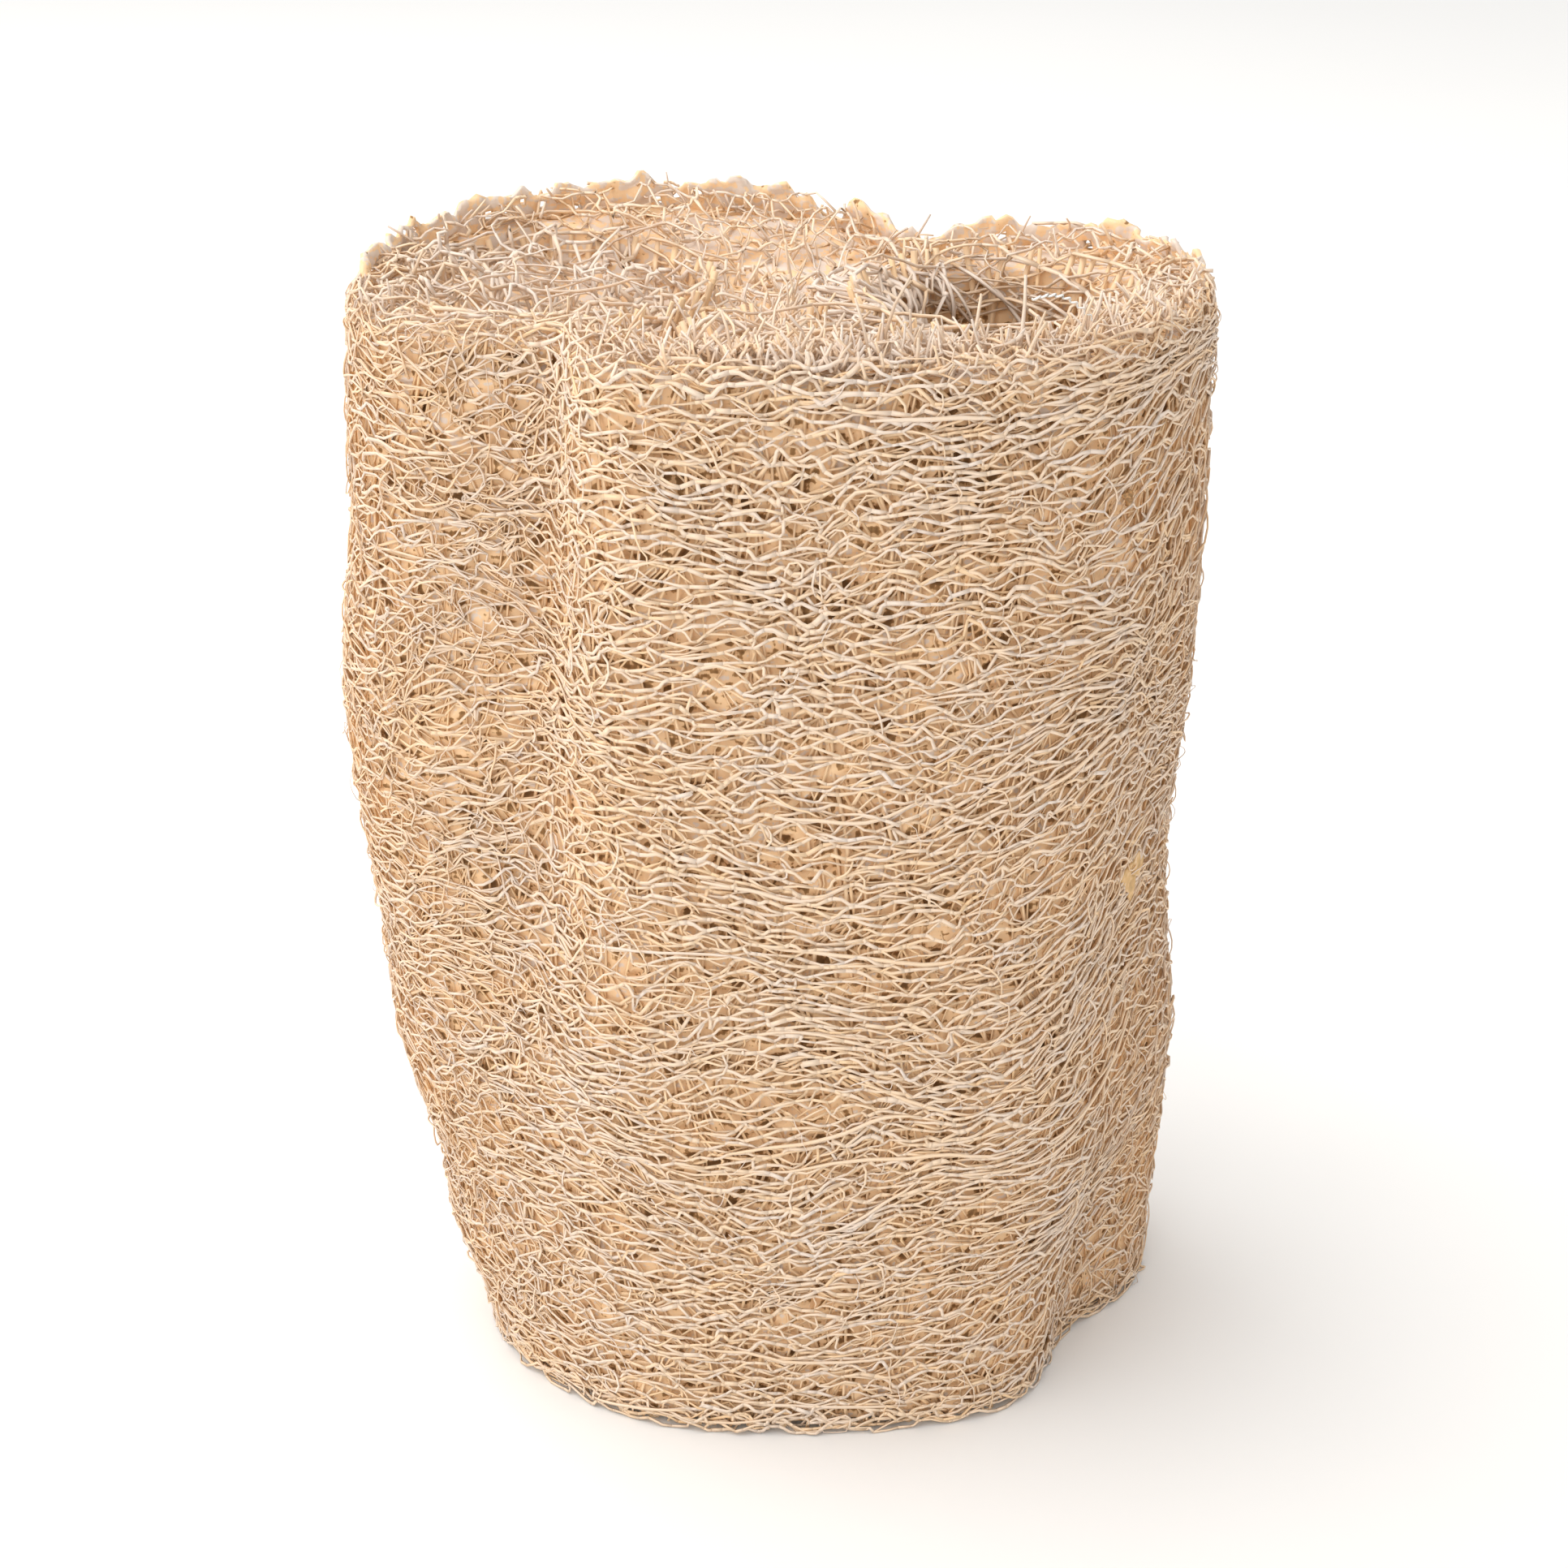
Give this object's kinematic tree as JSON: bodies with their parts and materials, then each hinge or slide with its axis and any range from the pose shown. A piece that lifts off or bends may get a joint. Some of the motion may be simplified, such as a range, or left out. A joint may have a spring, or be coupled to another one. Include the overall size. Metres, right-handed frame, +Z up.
{
  "type": "natural loofah sponge",
  "caption": "Length cut from a dried fruit: a lobed cylinder of fine net-like fibre, with open seed channels through it, for scrubbing.",
  "frame": {"origin": "middle of the core on the lower cut, which the sponge stands on", "axes": "+Z up along the fruit, the longest way; +Y to the back, the shallowest way through; +X to the right of the picture's view"},
  "size_m": [0.0966, 0.0701, 0.133],
  "materials": {
    "loofah_fibre": "dry raw plant fibre, matt with a faint waxy sheen"
  },
  "bodies": {
    "root": {"loofah": "loofah_fibre"}
  },
  "joints": []
}
